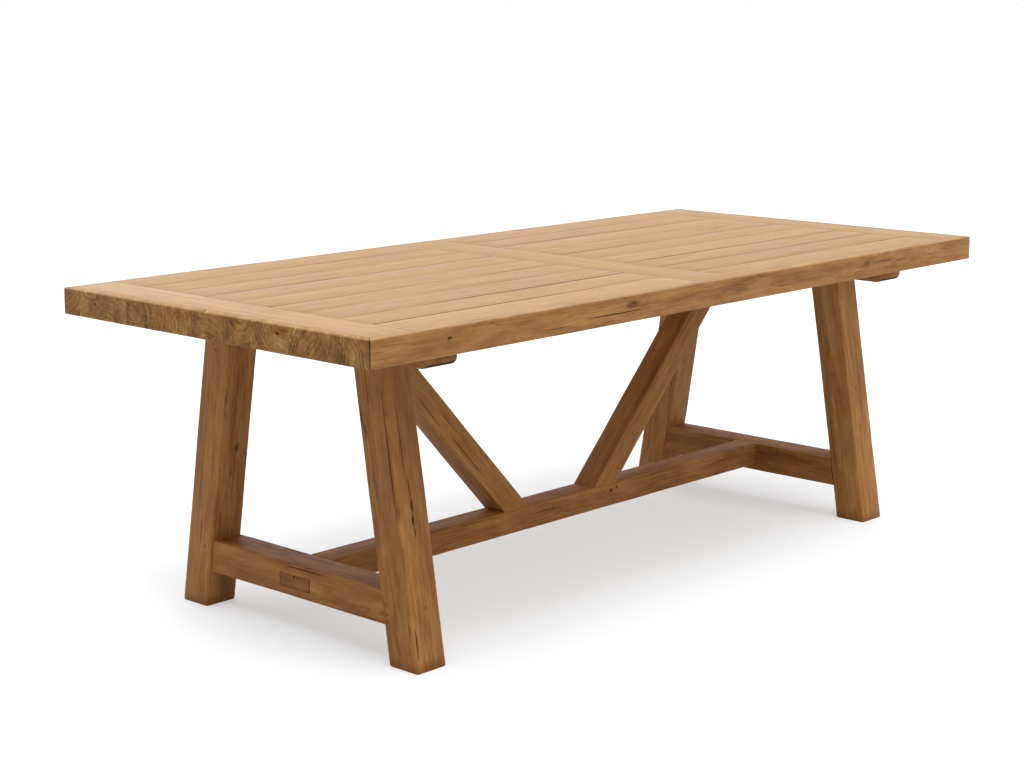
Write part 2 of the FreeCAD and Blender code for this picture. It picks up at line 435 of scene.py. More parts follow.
def noise(tree, place, scale, detail=2.0, roughness=0.5):
    node = tree.nodes.new("ShaderNodeTexNoise")
    wire(tree, vectorMaths(tree, "MULTIPLY", place, scale), node.inputs["Vector"])
    node.inputs["Scale"].default_value = 1
    node.inputs["Detail"].default_value = detail
    node.inputs["Roughness"].default_value = roughness
    return node.outputs


def swayNoise(tree, place, scale, detail, roughness=0.5):
    # a vector that swings round nought
    colour = noise(tree, place, scale, detail, roughness)["Color"]
    return vectorMaths(tree, "SUBTRACT", colour, (0.5, 0.5, 0.5))


def lineNoise(tree, value, scale):
    node = tree.nodes.new("ShaderNodeTexNoise")
    node.noise_dimensions = "1D"
    wire(tree, maths(tree, "MULTIPLY", value, scale), node.inputs["W"])
    node.inputs["Scale"].default_value = 1
    return node.outputs[0]


def attribute(tree, name):
    node = tree.nodes.new("ShaderNodeAttribute")
    node.attribute_name = name
    return node.outputs["Vector"]


def split(tree, vector):
    node = tree.nodes.new("ShaderNodeSeparateXYZ")
    wire(tree, vector, node.inputs[0])
    return node.outputs


def tint(tree, factor, first, second, blend="MIX"):
    node = tree.nodes.new("ShaderNodeMix")
    node.data_type = "RGBA"
    node.blend_type = blend
    wire(tree, factor, node.inputs["Factor"])
    wire(tree, first, node.inputs[6])
    wire(tree, second, node.inputs[7])
    return node.outputs[2]


def colourBand(tree, value, stops):
    node = tree.nodes.new("ShaderNodeValToRGB")
    band = node.color_ramp
    while len(band.elements) < len(stops):
        band.elements.new(0.5)
    for element, (place, colour) in zip(band.elements, stops):
        element.position = place
        element.color = (*colour, 1)
    wire(tree, value, node.inputs["Fac"])
    return node.outputs["Color"]


def newGroup(name, inputs, outputs):
    tree = bpy.data.node_groups.new(name, "ShaderNodeTree")
    for label, value in inputs.items():
        tree.interface.new_socket(label, in_out="INPUT", socket_type="NodeSocketFloat").default_value = value
    for label in outputs:
        tree.interface.new_socket(label, in_out="OUTPUT", socket_type="NodeSocketFloat")
    return tree, tree.nodes.new("NodeGroupInput").outputs, tree.nodes.new("NodeGroupOutput").inputs


def placeGroup(tree, group, values):
    node = tree.nodes.new("ShaderNodeGroup")
    node.node_tree = group
    for label, value in values.items():
        wire(tree, value, node.inputs[label])
    return node.outputs


def newMaterial(name):
    material = bpy.data.materials.new(name)
    material.use_nodes = True
    return material, material.node_tree, material.node_tree.nodes["Principled BSDF"]


def addBump(tree, shader, height, strength, distance):
    bump = tree.nodes.new("ShaderNodeBump")
    bump.inputs["Strength"].default_value = strength
    bump.inputs["Distance"].default_value = distance
    wire(tree, height, bump.inputs["Height"])
    wire(tree, bump.outputs[0], shader.inputs["Normal"])


# growth rings, colour bands, pores, knots and fine checks of a solid timber
def buildTimberGrain():
    tree, given, put = newGroup(
        "timberGrain",
        {"Ring Width": 0.006, "Wander": 0.02, "Knots": 0.1},
        ["Growth", "Band", "Streak", "Mottle", "Fibre", "Stain", "Pore", "Knot", "Check"],
    )
    bar = attribute(tree, "barCoord")
    place = vectorMaths(tree, "ADD", bar, attribute(tree, "grainShift"))

    # the tree's heart wanders along its length
    slow = swayNoise(tree, place, (1.2, 3.0, 3.0), 1.0)
    quick = swayNoise(tree, place, (5.0, 16.0, 16.0), 2.0)
    both = vectorMaths(tree, "ADD", slow, vectorMaths(tree, "SCALE", quick, 0.3))
    bent = vectorMaths(tree, "ADD", place, vectorMaths(tree, "SCALE", both, given["Wander"]))
    shiver = swayNoise(tree, place, (34.0, 150.0, 150.0), 3.0, 0.6)
    ragged = vectorMaths(tree, "ADD", bent, vectorMaths(tree, "MULTIPLY", shiver, (0.0, 0.007, 0.007)))

    # knots, the listed spots, one of them a broad patch of painted shade, and the grain that flows round them
    cells = tree.nodes.new("ShaderNodeTexVoronoi")
    wire(tree, vectorMaths(tree, "MULTIPLY", ragged, (4.6, 10.0, 10.0)), cells.inputs["Vector"])
    cells.inputs["Scale"].default_value = 1
    chance = split(tree, cells.outputs["Color"])[0]
    chosen = maths(tree, "LESS_THAN", chance, given["Knots"])
    core = maths(tree, "MULTIPLY", ramped(tree, cells.outputs["Distance"], 0.17, 0.06), chosen)
    halo = maths(tree, "MULTIPLY", ramped(tree, cells.outputs["Distance"], 0.5, 0.02), chosen)

    frayed = vectorMaths(tree, "ADD", bar, vectorMaths(tree, "SCALE", shiver, 0.006))
    for number in range(spotSlots):
        size = split(tree, attribute(tree, "knotSize" + str(number)))
        squeeze = tree.nodes.new("ShaderNodeCombineXYZ")
        for value, socket in zip((size[0], size[1], size[1]), squeeze.inputs):
            wire(tree, value, socket)
        offset = vectorMaths(tree, "SUBTRACT", frayed, attribute(tree, "knotPlace" + str(number)))
        distance = vectorMaths(tree, "LENGTH", vectorMaths(tree, "MULTIPLY", offset, squeeze.outputs[0]))
        core = maths(tree, "MAXIMUM", core, maths(tree, "MULTIPLY", ramped(tree, distance, 1.1, 0.4), size[2]))
        halo = maths(tree, "MAXIMUM", halo, maths(tree, "MULTIPLY", ramped(tree, distance, 3.2, 0.5), size[2]))

    # rings of uneven width and strength
    radius = vectorMaths(tree, "LENGTH", vectorMaths(tree, "MULTIPLY", ragged, (0, 1, 1)))
    radius = maths(tree, "MULTIPLY_ADD", halo, 0.016, radius)
    phase = maths(tree, "DIVIDE", radius, given["Ring Width"])
    phase = maths(tree, "MULTIPLY_ADD", lineNoise(tree, phase, 0.30), 3.0, phase)
    step = maths(tree, "FRACT", phase)
    growth = maths(tree, "MULTIPLY", ramped(tree, step, 0.25, 0.85), ramped(tree, step, 1.0, 0.88))
    years = ramped(tree, lineNoise(tree, phase, 0.41), 0.3, 0.7, 0.15, 1.0)
    wire(tree, maths(tree, "MULTIPLY", growth, years), put["Growth"])
    wire(tree, core, put["Knot"])

    figure = {  # place, scale along and across, detail, roughness, and the levels it runs between
        "Band": (bent, 0.7, 18.0, 4.0, 0.6, 0.28, 0.72),
        "Streak": (ragged, 3.0, 85.0, 5.0, 0.65, 0.27, 0.73),
        "Mottle": (ragged, 7.0, 30.0, 6.0, 0.68, 0.27, 0.73),
        "Fibre": (bent, 13.0, 200.0, 4.0, 0.65, 0.27, 0.73),
        "Stain": (ragged, 4.5, 21.0, 6.0, 0.7, 0.52, 0.72),
        "Pore": (bent, 26.0, 620.0, 1.0, 0.5, 0.57, 0.70),
    }
    for label, (source, along, across, detail, roughness, start, end) in figure.items():
        cloud = noise(tree, source, (along, across, across), detail, roughness)[0]
        wire(tree, ramped(tree, cloud, start, end), put[label])

    # hairline checks, only here and there
    line = maths(tree, "ABSOLUTE", maths(tree, "SUBTRACT", noise(tree, ragged, (1.6, 40.0, 40.0), 2.0)[0], 0.5))
    patch = ramped(tree, noise(tree, bent, (3.0, 13.0, 13.0), 2.0)[0], 0.56, 0.64)
    wire(tree, maths(tree, "MULTIPLY", ramped(tree, line, 0.016, 0.004), patch), put["Check"])
    return tree


# where a point lies on its timber: arrises, lighter as wear and as a painted highlight, joint lines, and painted
# shade inside cracks and holes
def buildTimberEdges():
    tree, given, put = newGroup(
        "timberEdges",
        {"Joint Width": 0.002, "Wear Width": 0.010, "End Inset": 0.0, "Side Inset": 0.0},
        ["Arris", "Joint", "Inside", "Upper"],
    )
    bar, half = attribute(tree, "barCoord"), attribute(tree, "barHalf")
    gap = split(tree, vectorMaths(tree, "SUBTRACT", half, vectorMaths(tree, "ABSOLUTE", bar)))
    coord = split(tree, bar)
    lesser = maths(tree, "MINIMUM", gap[0], gap[1])
    greater = maths(tree, "MAXIMUM", gap[0], gap[1])
    smallest = maths(tree, "MINIMUM", lesser, gap[2])
    second = maths(tree, "MAXIMUM", lesser, maths(tree, "MINIMUM", greater, gap[2]))
    # arrises: partly real wear, partly a painted highlight along the rounded edges
    wornAndHighlit = ramped(tree, second, given["Wear Width"], 0.001)
    place = vectorMaths(tree, "ADD", bar, attribute(tree, "grainShift"))
    uneven = ramped(tree, noise(tree, place, (14.0, 14.0, 14.0), 3.0)[0], 0.35, 0.65)
    broken = ramped(tree, noise(tree, place, (2.2, 2.2, 2.2), 2.0)[0], 0.42, 0.60, 0.1, 1.0)
    wire(tree, maths(tree, "MULTIPLY", wornAndHighlit, uneven), put["Arris"])

    def jointLine(distance, inset, strength):
        narrow = maths(tree, "MULTIPLY", given["Joint Width"], 0.6)
        line = ramped(tree, maths(tree, "ADD", distance, inset), given["Joint Width"], narrow)
        return maths(tree, "MULTIPLY", line, strength)

    strengths = split(tree, attribute(tree, "jointCast"))
    highSide = maths(tree, "GREATER_THAN", coord[1], 0.0)
    step = maths(tree, "SUBTRACT", strengths[1], strengths[0])
    flank = jointLine(gap[1], given["Side Inset"], maths(tree, "MULTIPLY_ADD", step, highSide, strengths[0]))
    end = jointLine(gap[0], given["End Inset"], strengths[2])
    wire(tree, maths(tree, "MULTIPLY", maths(tree, "MAXIMUM", flank, end), broken), put["Joint"])
    upper = maths(tree, "SUBTRACT", split(tree, half)[2], coord[2])
    wire(tree, ramped(tree, upper, 0.0042, 0.0010), put["Upper"])
    # painted shade: the walls and floors of carved checks, holes and recesses, deeper than about 1.2 mm, turn
    # near black
    wire(tree, ramped(tree, smallest, 0.0012, 0.0045), put["Inside"])
    return tree


timberGrain = buildTimberGrain()
timberEdges = buildTimberEdges()


def buildTimber(name, look):
    material, tree, shader = newMaterial(name)
    grain = placeGroup(
        tree,
        timberGrain,
        {"Ring Width": look["ringWidth"], "Wander": look["wander"], "Knots": look["knots"]},
    )
    edges = placeGroup(
        tree,
        timberEdges,
        {
            "Joint Width": look["jointWidth"],
            "Wear Width": look["wearWidth"],
            "End Inset": look["endInset"],
            "Side Inset": look["sideInset"],
        },
    )
    cast = split(tree, attribute(tree, "woodCast"))

    level = maths(tree, "MULTIPLY_ADD", cast[0], look["toneSpread"], look["level"])
    for label in ("Band", "Streak", "Mottle", "Fibre"):
        swing = maths(tree, "SUBTRACT", grain[label], 0.5)
        level = maths(tree, "MULTIPLY_ADD", swing, look[label.lower()], level)
    for label in ("Growth", "Stain"):
        level = maths(tree, "MULTIPLY_ADD", grain[label], -look[label.lower()], level)
    # darker towards the bottom of the feet, in the last 3 cm, broken up by the mottle
    if "footDarkening" in look:
        rise = split(tree, tree.nodes.new("ShaderNodeTexCoord").outputs["Object"])[2]
        nearFloorDark = maths(tree, "MULTIPLY", ramped(tree, rise, 0.030, 0.001), grain["Mottle"])
        level = maths(tree, "MULTIPLY_ADD", nearFloorDark, -look["footDarkening"], level)

    colour = colourBand(tree, level, look["colours"])
    if "sanded" in look:
        colour = tint(tree, edges["Upper"], colour, colourBand(tree, level, look["sanded"]))
    blush = maths(tree, "MULTIPLY_ADD", cast[1], look["blush"] / 2, look["blush"] / 2)
    colour = tint(tree, blush, colour, (*look["blushColour"], 1), "MULTIPLY")
    for mask, strength, shade in (
        (grain["Pore"], look["pore"], look["poreColour"]),
        # a lighter colour on the arrises: partly wear, partly a painted highlight
        (edges["Arris"], look["wear"], look["wearAndHighlightColour"]),
        (grain["Knot"], 0.85, look["knotAndShadeColour"]),
    ):
        colour = tint(tree, maths(tree, "MULTIPLY", mask, strength), colour, (*shade, 1))
    dark = maths(tree, "MULTIPLY", grain["Check"], look["check"])
    dark = maths(tree, "MAXIMUM", dark, maths(tree, "MULTIPLY", edges["Joint"], look["joint"]))
    # painted shade inside carved hollows, together with the dark checks and joint lines
    dark = maths(tree, "MAXIMUM", dark, edges["Inside"])
    colour = tint(tree, dark, colour, (*look["crackAndShadeColour"], 1))
    wire(tree, colour, shader.inputs["Base Color"])
    shader.inputs["Specular IOR Level"].default_value = look["specular"]

    gloss = maths(tree, "MULTIPLY_ADD", grain["Growth"], -0.08, look["roughness"])
    gloss = maths(tree, "MULTIPLY_ADD", grain["Band"], 0.14, gloss)
    wire(tree, maths(tree, "MULTIPLY_ADD", dark, 0.5, gloss), shader.inputs["Roughness"])

    height = maths(tree, "MULTIPLY_ADD", grain["Growth"], 0.3, maths(tree, "MULTIPLY", grain["Fibre"], 0.7))
    height = maths(tree, "MULTIPLY_ADD", grain["Pore"], -0.35, height)
    height = maths(tree, "MULTIPLY_ADD", grain["Check"], -1.2, height)
    addBump(tree, shader, height, look["bump"], 0.0008)
    return material


topLook = {
    "ringWidth": 0.0065,
    "wander": 0.030,
    "knots": 0.0,
    "level": 0.58,
    "toneSpread": 0.06,
    "band": 0.22,
    "streak": 0.26,
    "mottle": 0.12,
    "fibre": 0.22,
    "growth": 0.10,
    "stain": 0.06,
    "colours": [
        (0.0, (0.177, 0.083, 0.026)),
        (0.35, (0.301, 0.164, 0.056)),
        (0.58, (0.365, 0.212, 0.075)),
        (0.8, (0.426, 0.262, 0.103)),
        (1.0, (0.487, 0.319, 0.140)),
    ],
    "blush": 0.25,
    "blushColour": (1.0, 0.94, 1.08),
    "pore": 0.24,
    "poreColour": (0.20, 0.09, 0.026),
    # colour of the knots, and of the painted shade patch on the front left leg
    "knotAndShadeColour": (0.15, 0.064, 0.018),
    "wear": 0.0,
    "wearWidth": 0.008,
    # lighter colour of the arrises: partly wear, partly a painted highlight
    "wearAndHighlightColour": (0.47, 0.26, 0.085),
    "check": 0.35,
    "joint": 1.0,
    "jointWidth": 0.0030,
    "endInset": 0.0008,  # moves a joint line out; 1 takes it away
    "sideInset": 0.0,
    # colour of the checks and joint lines, and of the painted shade inside carved hollows
    "crackAndShadeColour": (0.130, 0.048, 0.002),
    "roughness": 0.48,
    "specular": 0.27,
    "bump": 0.35,
}

sandedColours = [  # the upper face of the edge bands and blocks, sanded with the boards
    (0.0, (0.192, 0.091, 0.032)),
    (0.35, (0.328, 0.180, 0.068)),
    (0.58, (0.398, 0.233, 0.092)),
    (0.8, (0.465, 0.289, 0.126)),
    (1.0, (0.532, 0.351, 0.171)),
]

edgeLook = dict(
    topLook,
    level=0.60,
    toneSpread=0.02,
    knots=0.10,
    band=0.26,
    streak=0.28,
    mottle=0.44,
    fibre=0.26,
    growth=0.12,
    stain=0.26,
    colours=[
        (0.0, (0.105, 0.038, 0.008)),
        (0.35, (0.270, 0.116, 0.028)),
        (0.58, (0.370, 0.168, 0.045)),
        (0.8, (0.445, 0.222, 0.065)),
        (1.0, (0.540, 0.300, 0.102)),
    ],
    crackAndShadeColour=(0.050, 0.020, 0.006),
    joint=0.85,
    jointWidth=0.0052,
    endInset=0.0,
    sideInset=1.0,
    check=0.3,
    wear=0.30,
    knotAndShadeColour=(0.130, 0.045, 0.010),
    roughness=0.50,
    specular=0.20,
    blush=0.2,
    sanded=sandedColours,
)

endGrainLook = dict(
    topLook,
    ringWidth=0.0105,
    wander=0.060,
    knots=0.08,
    level=0.64,
    toneSpread=0.06,
    band=0.38,
    streak=0.20,
    mottle=0.38,
    fibre=0.16,
    growth=0.36,
    stain=0.14,
    colours=[
        (0.0, (0.060, 0.022, 0.005)),
        (0.3, (0.165, 0.071, 0.018)),
        (0.55, (0.275, 0.127, 0.035)),
        (0.8, (0.390, 0.200, 0.061)),
        (1.0, (0.540, 0.310, 0.110)),
    ],
    crackAndShadeColour=(0.050, 0.020, 0.006),
    joint=0.25,
    jointWidth=0.0016,
    endInset=1.0,
    sideInset=0.0,
    check=0.75,
    wear=0.15,
    sanded=sandedColours,
    roughness=0.58,
    specular=0.14,
    bump=0.5,
)

frameLook = dict(
    topLook,
    ringWidth=0.0075,
    wander=0.030,
    knots=0.08,
    level=0.61,
    toneSpread=0.09,
    band=0.22,
    streak=0.16,
    mottle=0.38,
    fibre=0.20,
    growth=0.12,
    stain=0.24,
    # darker towards the bottom of the feet
    footDarkening=0.5,
    colours=[
        (0.0, (0.087, 0.028, 0.005)),
        (0.35, (0.250, 0.096, 0.020)),
        (0.58, (0.363, 0.153, 0.038)),
        (0.8, (0.457, 0.210, 0.060)),
        (1.0, (0.556, 0.287, 0.099)),
    ],
    crackAndShadeColour=(0.050, 0.020, 0.006),
    joint=0.0,
    endInset=1.0,
    sideInset=1.0,
    check=0.5,
    wear=0.12,
    wearWidth=0.007,
    roughness=0.58,
    specular=0.22,
    bump=0.55,
    blush=0.2,
)

underLook = dict(frameLook, knots=0.2, roughness=0.66, bump=0.9, wear=0.2)

plugLook = dict(frameLook, level=0.47, knots=0.0, check=0.4, wear=0.1, joint=1.0, endInset=0.0, jointWidth=0.0062)

topTeak = buildTimber("topTeak", topLook)
edgeTeak = buildTimber("edgeTeak", edgeLook)
endGrainTeak = buildTimber("endGrainTeak", endGrainLook)
frameTeak = buildTimber("frameTeak", frameLook)
underTeak = buildTimber("underTeak", underLook)
plugTeak = buildTimber("plugTeak", plugLook)


# dull zinc on the bolts, nuts and screws
def buildFittingSteel():
    material, tree, shader = newMaterial("fittingSteel")
    place = tree.nodes.new("ShaderNodeTexCoord").outputs["Object"]
    cloud = noise(tree, place, (160.0, 160.0, 160.0), 4.0, 0.6)[0]
    brushed = noise(tree, place, (900.0, 900.0, 120.0), 2.0)[0]
    colour = colourBand(tree, cloud, [(0.3, (0.20, 0.19, 0.175)), (0.7, (0.46, 0.45, 0.43))])
    wire(tree, colour, shader.inputs["Base Color"])
    wire(tree, ramped(tree, cloud, 0.3, 0.7, 0.5, 0.32), shader.inputs["Roughness"])
    shader.inputs["Metallic"].default_value = 1
    addBump(tree, shader, brushed, 0.2, 0.0003)
    return material


fittingSteel = buildFittingSteel()
for node in ("stretcher_bolts", "barrel_nuts", "top_screws"):
    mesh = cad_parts[node].data
    mesh.materials.clear()
    mesh.materials.append(fittingSteel)
print("materials built")


# boards of the top
boards = {
    "top": 0.750,
    "under": 0.726,
    "halfWidth": 0.480,  # inside the edge bands
    "endEdge": 1.080,
    "endJoint": 0.970,
    "centreHalf": 0.065,
    "planks": 9,
    "gap": 0.0007,
    "ease": 0.0007,
    "cutLength": 0.07,
    "wave": 0.0006,
    "waveSize": 0.16,
    "heart": (0.07, 0.22),  # nearest and farthest that the heart of the tree lay
    "jointStrength": {  # from the front band to the back band
        "left": [0.15, 0.80, 1.0, 0.30, 0.75, 0.25, 0.90, 0.45, 0.70, 0.15],
        "right": [0.15, 0.90, 0.70, 0.95, 0.45, 0.80, 0.35, 0.75, 0.50, 0.15],
    },
    "endStrength": 0.30,
    "bandStrength": 0.15,
}


def makeBoard(name, low, high, lengthwise, joints):
    # joints: how open the low side, the high side and the ends are
    lowSide, highSide, end = [boards["gap"] * strength for strength in joints]
    if lengthwise == axisX:
        low, high = [low[0] + end, low[1] + lowSide, low[2]], [high[0] - end, high[1] - highSide, high[2]]
    else:
        low, high = [low[0] + lowSide, low[1] + end, low[2]], [high[0] - highSide, high[1] - end, high[2]]
    board = addBlock(name, low, high)
    run = (Vector(high) - Vector(low)).dot(lengthwise)
    sideways = axisZ.cross(lengthwise)
    cutAcross(board, lengthwise, max(int(run / boards["cutLength"]), 2))
    cutAcross(board, sideways, 2)
    easeEdges(board, lambda edge: edgeMiddle(edge).z > high[2] - touch and isSharp(edge), boards["ease"], 2)
    weather(board, boards["wave"], boards["waveSize"])
    timber = timberIn(name, low, high, lengthwise, sideways, *boards["heart"])
    timber["joints"] = joints
    return board, timber


top, under, halfWidth = boards["top"], boards["under"], boards["halfWidth"]
plankWidth = 2 * halfWidth / boards["planks"]
for side, xSide in sides.items():
    x0, x1 = sorted([xSide * boards["centreHalf"], xSide * boards["endJoint"]])
    strength = boards["jointStrength"][side]
    for number in range(boards["planks"]):
        y0 = -halfWidth + number * plankWidth
        name = "plank" + side.capitalize() + str(number + 1)
        joints = (strength[number], strength[number + 1], boards["endStrength"])
        plank, timber = makeBoard(name, [x0, y0, under], [x1, y0 + plankWidth, top], axisX, joints)
        marks = drawChecks(name, timber, ["+z"], 2, (0.03, 0.12), checks["fineWidth"])
        finishTimber(plank, timber, marks, topTeak, "plank_" + side + "_" + str(number + 1))

crossBoards = {
    "endBoardLeft": ("end_board_left", -boards["endEdge"], -boards["endJoint"]),
    "centreBoard": ("centre_board", -boards["centreHalf"], boards["centreHalf"]),
    "endBoardRight": ("end_board_right", boards["endJoint"], boards["endEdge"]),
}
joints = (boards["endStrength"], boards["endStrength"], boards["bandStrength"])
for name, (node, x0, x1) in crossBoards.items():
    board, timber = makeBoard(name, [x0, -halfWidth, under], [x1, halfWidth, top], axisY, joints)
    marks = drawChecks(name, timber, ["+z"], 2, (0.03, 0.10), checks["fineWidth"])
    finishTimber(board, timber, marks, topTeak, node)
print("boards of the top made")


# edge bands at the front and back, sawn from one slab with rounded corners
bands = {
    "halfLength": 1.100,
    "halfWidth": 0.500,
    "thickness": 0.020,
    "under": 0.690,
    "top": 0.750,
    "round": 0.0042,
    "cornerRound": 0.0070,
    "wave": 0.0010,
    "waveSize": 0.11,
    "mitreGap": 0.0006,
    "cuts": (44, 24, 3),
    "heart": (0.05, 0.12),
    "toneSpread": 0.3,
    "endJoint": 0.9,
}
bandMarks = {  # side, place along, place up, length, width, depth
    "frontEdgeBand": [
        ("-y", -0.883, 0.006, 0.014, 0.009, 0.004),
        ("-y", -0.312, 0.011, 0.012, 0.004, 0.003),
        ("-y", -0.111, 0.008, 0.006, 0.004, 0.002),
        ("-y", 0.600, 0.007, 0.020, 0.006, 0.002),
        ("-y", 0.690, 0.006, 0.090, 0.0018, 0.004),
        ("-y", -0.375, -0.006, 0.200, 0.0028, 0.005),
        ("-y", -0.560, -0.014, 0.090, 0.0016, 0.004),
        ("-y", 0.250, -0.010, 0.070, 0.0016, 0.004),
    ],
    "backEdgeBand": [
        ("+y", -0.640, 0.004, 0.012, 0.008, 0.003),
        ("+y", 0.180, -0.009, 0.020, 0.009, 0.002),
        ("+y", 0.420, 0.008, 0.090, 0.0016, 0.004),
    ],
}

bandKnots = {
    "frontEdgeBand": [
        ((-0.318, -0.010, 0.008), 0.052, 0.021, 0.9),
        ((0.600, -0.010, 0.006), 0.042, 0.020, 0.65),
    ],
    "backEdgeBand": [((0.180, 0.010, -0.009), 0.030, 0.014, 0.7)],
}

length, width, deep = bands["halfLength"], bands["halfWidth"], bands["thickness"]
slab = addBlock("topSlab", [-length, -width, bands["under"]], [length, width, bands["top"]])
for axis, count in zip((axisX, axisY, axisZ), bands["cuts"]):
    cutAcross(slab, axis, count)
easeEdges(slab, lambda edge: runsAlong(edge, axisZ) and isSharp(edge), bands["cornerRound"], 4)
easeEdges(slab, isSharp, bands["round"], 3)


def mitre(piece, xSide, ySide, keepsFront):
    # saws one corner at 45 degrees in plan
    corner = Vector((xSide * length, ySide * width, 0))
    outward = Vector((xSide, -ySide, 0)) if keepsFront else Vector((-xSide, ySide, 0))
    sawOff(piece, corner - outward.normalized() * bands["mitreGap"], outward.normalized())


for face, ySide in fronts.items():
    name = face + "EdgeBand"
    band = copyPiece(slab, name)
    sawOff(band, (0, ySide * (width - deep), 0), (0, -ySide, 0))
    for xSide in sides.values():
        mitre(band, xSide, ySide, True)
    weather(band, bands["wave"], bands["waveSize"])
    y0, y1 = sorted([ySide * (width - deep), ySide * width])
    box = [-length, y0, bands["under"]], [length, y1, bands["top"]]
    timber = timberIn(name, *box, axisX, axisY, *bands["heart"], bands["toneSpread"])
    timber["joints"] = (0, 0, bands["endJoint"])
    timber["knots"] = bandKnots[name]
    finishTimber(band, timber, bandMarks[name], edgeTeak, face + "_edge_band")
print("edge bands made")


# end grain blocks along both ends
blocks = {
    "widths": [0.062, 0.096, 0.078, 0.118, 0.084, 0.104, 0.070, 0.092],
    "least": 0.045,
    "gap": 0.0003,
    "ease": 0.0005,
    "stagger": 0.0004,
    "cutReach": 0.0006,  # how near an edge is to a cut, and to the outer face, to be eased
    "faceReach": 0.002,
    "heart": (0.035, 0.130),
    "slant": 0.9,
    "holeDepth": 0.004,
    "holes": {  # place across the table, height, size
        "left": [(0.380, 0.725, 0.009), (0.030, 0.738, 0.007), (-0.231, 0.731, 0.010), (-0.324, 0.702, 0.007)],
        "right": [(0.262, 0.712, 0.008), (-0.118, 0.733, 0.009)],
    },
}

for side, xSide in sides.items():
    outward = "-x" if xSide < 0 else "+x"
    x0, x1 = sorted([xSide * (length - deep), xSide * length])
    strip = copyPiece(slab, side + "EndStrip")
    sawOff(strip, (xSide * (length - deep), 0, 0), (-xSide, 0, 0))
    for ySide in fronts.values():
        mitre(strip, xSide, ySide, False)
    weather(strip, bands["wave"], bands["waveSize"])
    row = []
    y0 = -width
    while y0 < width - touch:
        y1 = y0 + blocks["widths"][len(row) % len(blocks["widths"])]
        if y1 > width - blocks["least"]:
            y1 = width
        name = side + "EndBlock" + str(len(row) + 1)
        piece = copyPiece(strip, name)
        if y0 > -width:
            sawOff(piece, (0, y0 + blocks["gap"], 0), (0, -1, 0))
        if y1 < width:
            sawOff(piece, (0, y1 - blocks["gap"], 0), (0, 1, 0))
        cuts = [cut for cut in (y0, y1) if abs(cut) < width]
        easeEdges(
            piece,
            lambda edge: any(abs(edgeMiddle(edge).y - cut) < blocks["cutReach"] for cut in cuts)
            and edgeMiddle(edge).x * xSide > length - blocks["faceReach"]
            and isSharp(edge),
            blocks["ease"],
            1,
        )
        draw = random.Random(name)
        movePiece(piece, (-xSide * draw.uniform(0, blocks["stagger"]), 0, 0))
        box = [x0, y0, bands["under"]], [x1, y1, bands["top"]]
        timber = timberIn(name, *box, axisX, axisY, *blocks["heart"])
        timber["slant"] = [draw.uniform(-blocks["slant"], blocks["slant"]) for _ in range(2)]
        middle = timber["middle"]
        holes = [
            (outward, z - middle.z, y - middle.y, size * 0.7, size, blocks["holeDepth"])
            for y, z, size in blocks["holes"][side]
            if y0 < y < y1
        ]
        carve(piece, timber, holes)
        writeGrain(piece, timber)
        row.append(piece)
        y0 = y1
    bpy.data.objects.remove(strip)
    joined = rename(joinPieces(row), side + "EndBlocks")
    finishPiece(joined, endGrainTeak, side + "_end_blocks")
bpy.data.objects.remove(slab)
print("end grain blocks made")


# battens under the boards
battens = {
    "places": {
        "trestleBattenLeft": ("trestle_batten_left", -0.875, -0.785),
        "braceBattenLeft": ("brace_batten_left", -0.743, -0.6336),
        "centreBatten": ("centre_batten", -0.085, 0.085),
        "braceBattenRight": ("brace_batten_right", 0.5896, 0.699),
        "trestleBattenRight": ("trestle_batten_right", 0.785, 0.875),
    },
    "cuts": 16,
    "ease": 0.002,
    "wave": 0.0008,
    "waveSize": 0.09,
}
for name, (node, x0, x1) in battens["places"].items():
    box = [x0, -halfWidth, bands["under"]], [x1, halfWidth, under]
    batten = addBlock(name, *box)
    cutAcross(batten, axisY, battens["cuts"])
    easeEdges(batten, lambda edge: runsAlong(edge, axisY) and isSharp(edge), battens["ease"], 2)
    weather(batten, battens["wave"], battens["waveSize"])
    finishTimber(batten, timberIn(name, *box, axisY, axisX), [], underTeak, node)
print("battens made")


# bearers on the trestles
bearers = {
    "middle": 0.830,
    "width": 0.090,
    "halfLength": 0.425,
    "under": 0.650,
    "top": 0.690,
    "endRound": 0.018,
    "round": 0.003,
    "cuts": 16,
    "wave": 0.0008,
    "waveSize": 0.10,
    "screwPlaces": [-0.375, -0.100, 0.100, 0.375],
    "recess": 0.022,
    "recessDepth": 0.010,
}

for side, xSide in sides.items():
    name = "bearer" + side.capitalize()
    x = xSide * bearers["middle"]
    half = bearers["width"] / 2
    reach = bearers["halfLength"]
    box = [x - half, -reach, bearers["under"]], [x + half, reach, bearers["top"]]
    bearer = addBlock(name, *box)
    easeEdges(
        bearer,
        lambda edge: runsAlong(edge, axisX) and edgeMiddle(edge).z < bearers["under"] + touch,
        bearers["endRound"],
        6,
    )
    easeEdges(
        bearer,
        lambda edge: not runsAlong(edge, axisX) and edgeMiddle(edge).z < bearers["top"] - touch and isSharp(edge),
        bearers["round"],
        2,
    )
    cutAcross(bearer, axisY, bearers["cuts"])
    weather(bearer, bearers["wave"], bearers["waveSize"])
    for y in bearers["screwPlaces"]:
        drill(bearer, (x, y, bearers["under"]), bearers["recess"], bearers["recessDepth"])
    finishTimber(bearer, timberIn(name, *box, axisY, axisX), [], frameTeak, "bearer_" + side)
print("bearers made")


